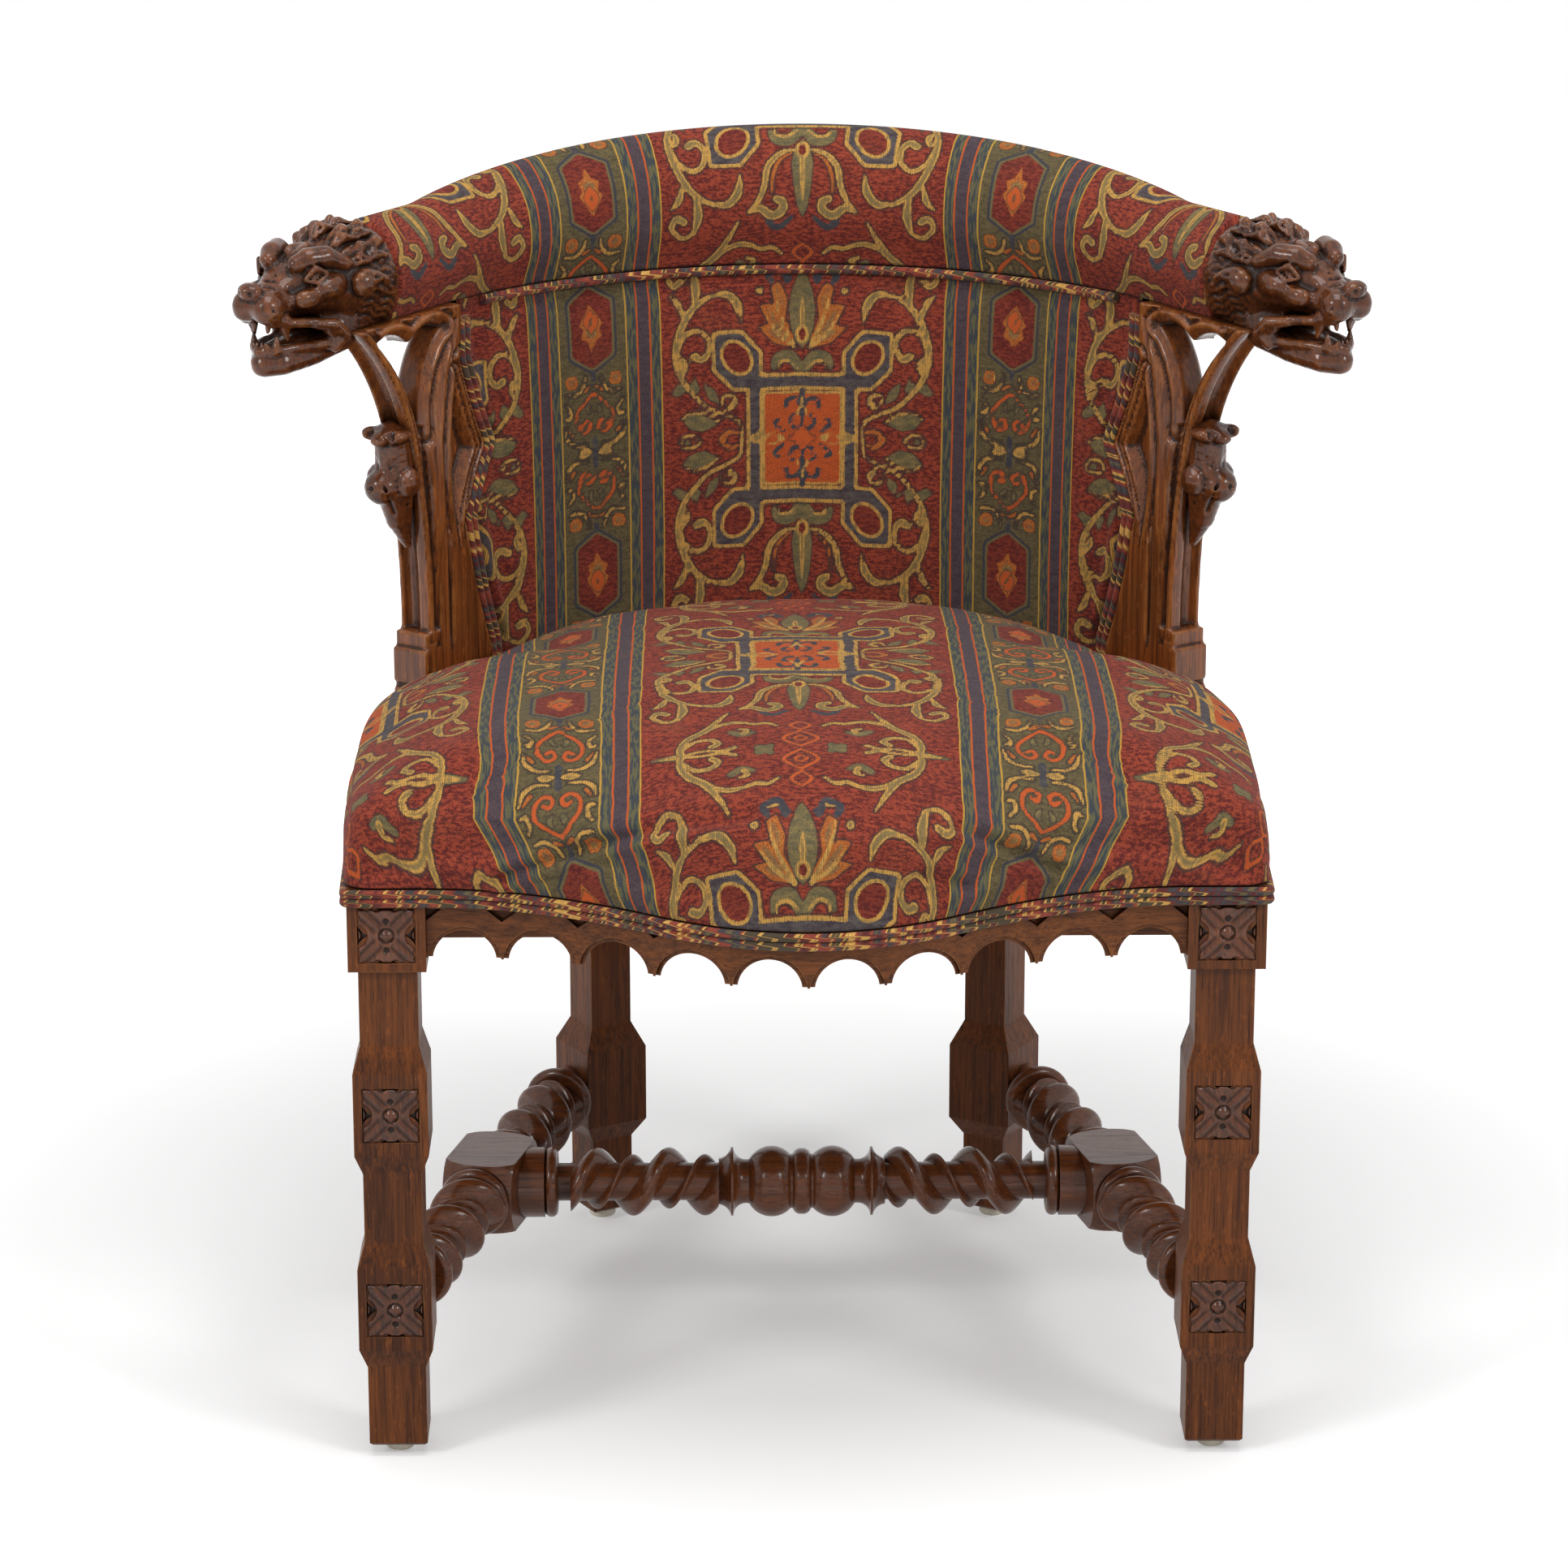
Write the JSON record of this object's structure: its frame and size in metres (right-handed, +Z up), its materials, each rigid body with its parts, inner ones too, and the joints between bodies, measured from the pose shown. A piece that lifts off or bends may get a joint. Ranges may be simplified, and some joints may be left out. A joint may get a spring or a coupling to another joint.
{
  "type": "gothic revival armchair",
  "caption": "Low tub armchair in carved dark oak with a crowned tapestry seat, padded curved back, arcaded apron, barley-twist stretchers and beast-head arms.",
  "frame": {"origin": "middle of the chair's box in plan, on the floor", "axes": "+Z up, -Y towards the front of the seat, +X to the right seen from the front"},
  "size_m": [0.7454, 0.5916, 0.795],
  "materials": {
    "oak": "waxed dark oak",
    "tapestry": "woven tapestry in red, gold, olive and blue-grey",
    "hessian": "plain jute weave",
    "glide": "ivory plastic",
    "steel": "plain steel"
  },
  "bodies": {
    "root": {"front_leg_left": "oak", "front_leg_right": "oak", "rear_leg_left": "oak", "rear_leg_right": "oak", "side_stretcher_left": "oak", "side_stretcher_right": "oak", "arm_panel_left": "oak", "arm_panel_right": "oak", "arm_crocket_left": "oak", "arm_crocket_right": "oak", "beast_head_left": "oak", "beast_head_right": "oak", "arm_rail_left": "oak", "arm_rail_right": "oak", "back_piping_left": "tapestry", "back_piping_right": "tapestry", "foot_glide_front_left": "glide", "foot_glide_front_right": "glide", "foot_glide_rear_left": "glide", "foot_glide_rear_right": "glide", "corner_block_left": "oak", "corner_block_right": "oak", "side_rail_left": "oak", "side_rail_right": "oak", "front_apron": "oak", "front_seat_rail": "oak", "rear_rail": "oak", "cross_stretcher": "oak", "crest_rail": "oak", "crest_pad": "tapestry", "crest_piping": "tapestry", "back_pad": "tapestry", "back_canvas": "hessian", "outside_back": "tapestry", "seat_pad": "tapestry", "seat_piping": "tapestry", "seat_webbing": "hessian", "seat_canvas": "hessian", "corner_block_screws": "steel", "panel_screws": "steel", "panel_dowels": "oak", "crest_dowels": "oak", "head_dowels": "oak", "glide_nails": "steel"}
  },
  "joints": []
}
